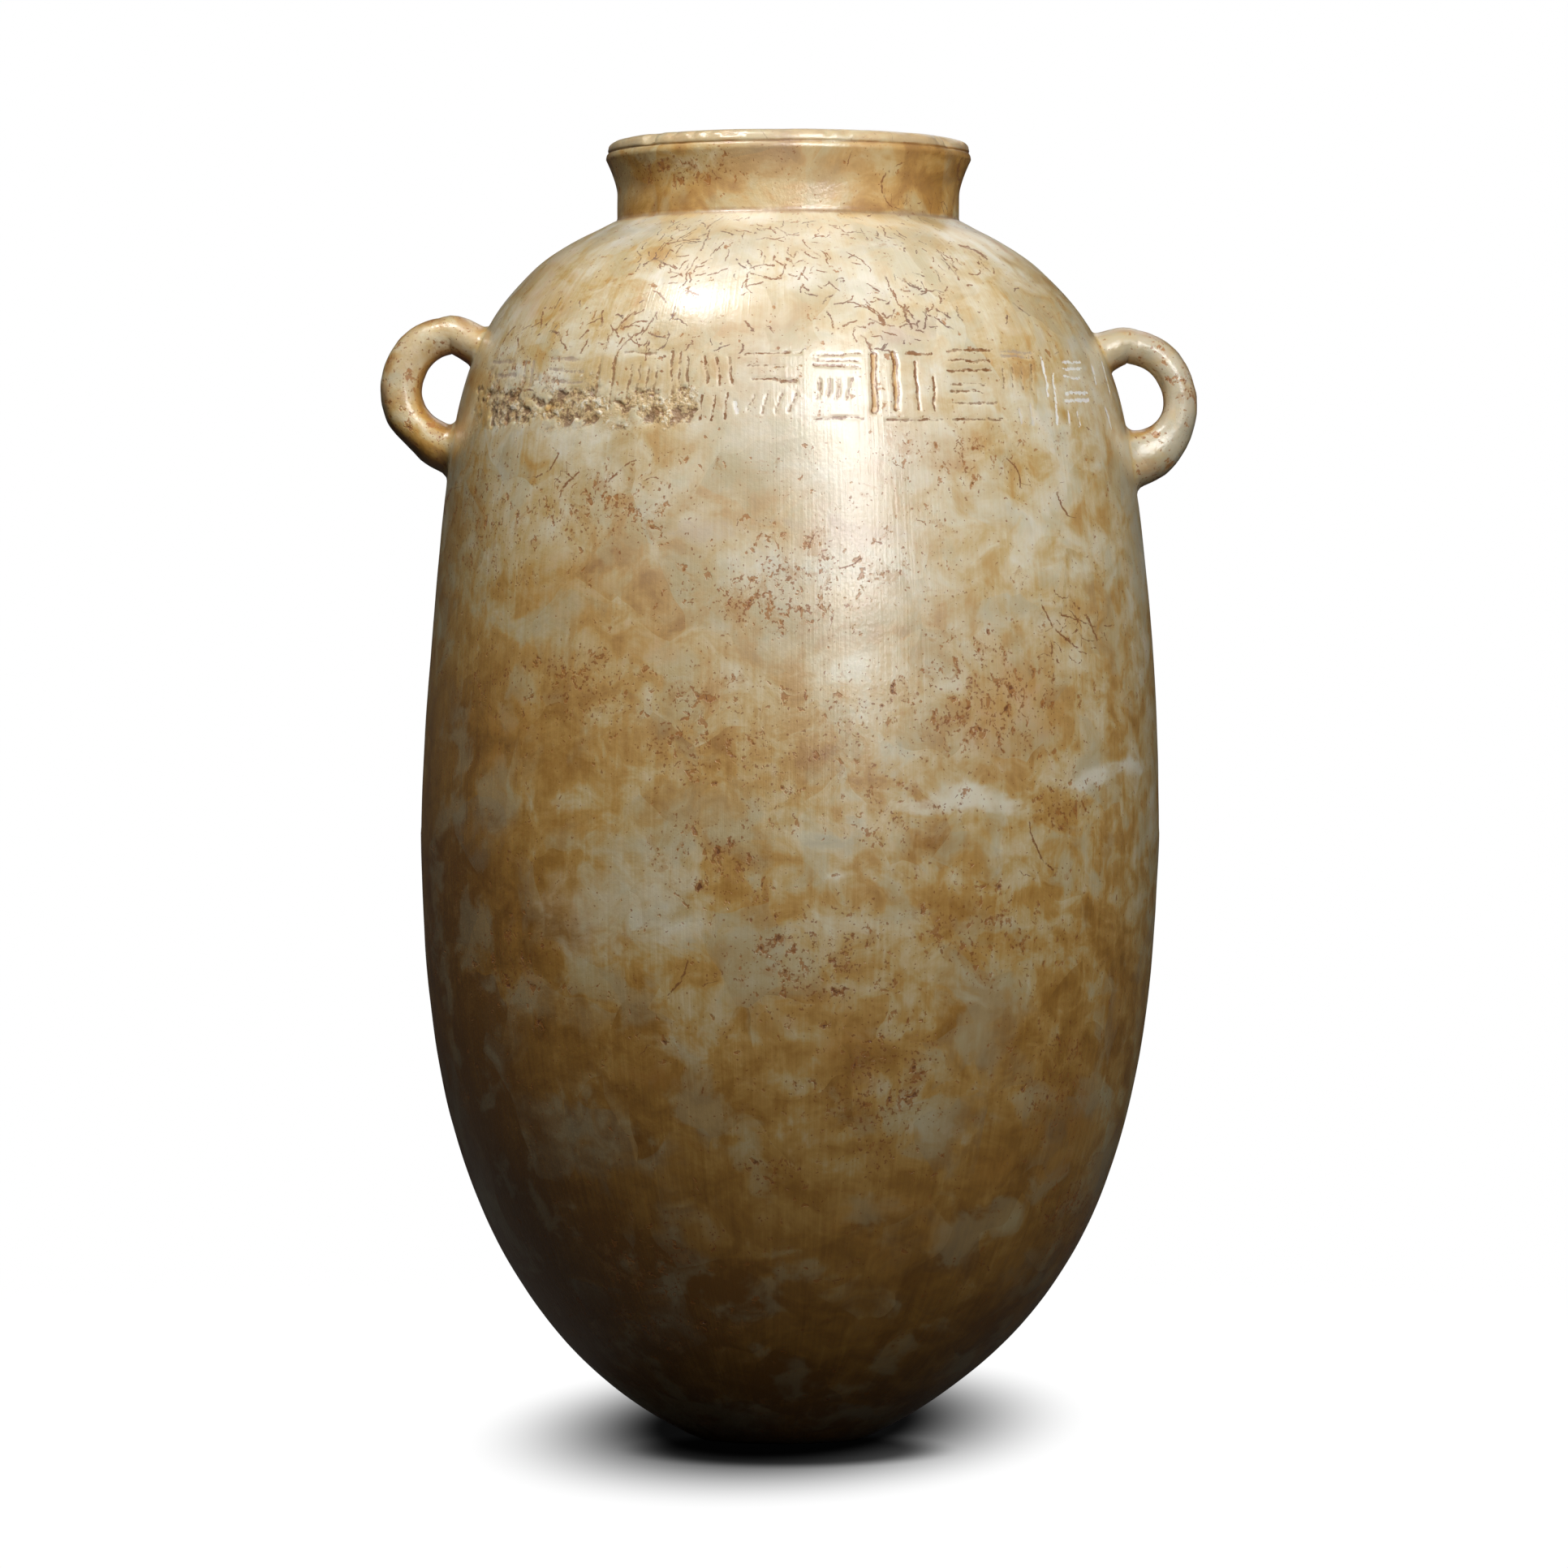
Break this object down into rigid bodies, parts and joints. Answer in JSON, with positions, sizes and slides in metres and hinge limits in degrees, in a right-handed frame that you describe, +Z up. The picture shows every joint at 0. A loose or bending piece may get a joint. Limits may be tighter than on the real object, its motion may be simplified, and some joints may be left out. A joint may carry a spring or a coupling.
{
  "type": "stone alabastron jar",
  "caption": "Tall ovoid stone jar on a small flat foot, with a short flared neck, a hollow inside and two small loop handles on the shoulder; stands upright and holds liquid or dry goods.",
  "frame": {"origin": "on the surface the jar stands on, under the axis of the neck", "axes": "+Z up through the mouth; +X towards the handle at the right of the side that carries the incised band, which faces -Y"},
  "size_m": [0.3152, 0.2842, 0.5],
  "materials": {
    "calcite": "banded translucent calcite, cream to honey and grey-brown, worn soft polish, fine cracks, pits and brown staining, darker towards the foot"
  },
  "bodies": {
    "root": {"vessel": "calcite"}
  },
  "joints": []
}
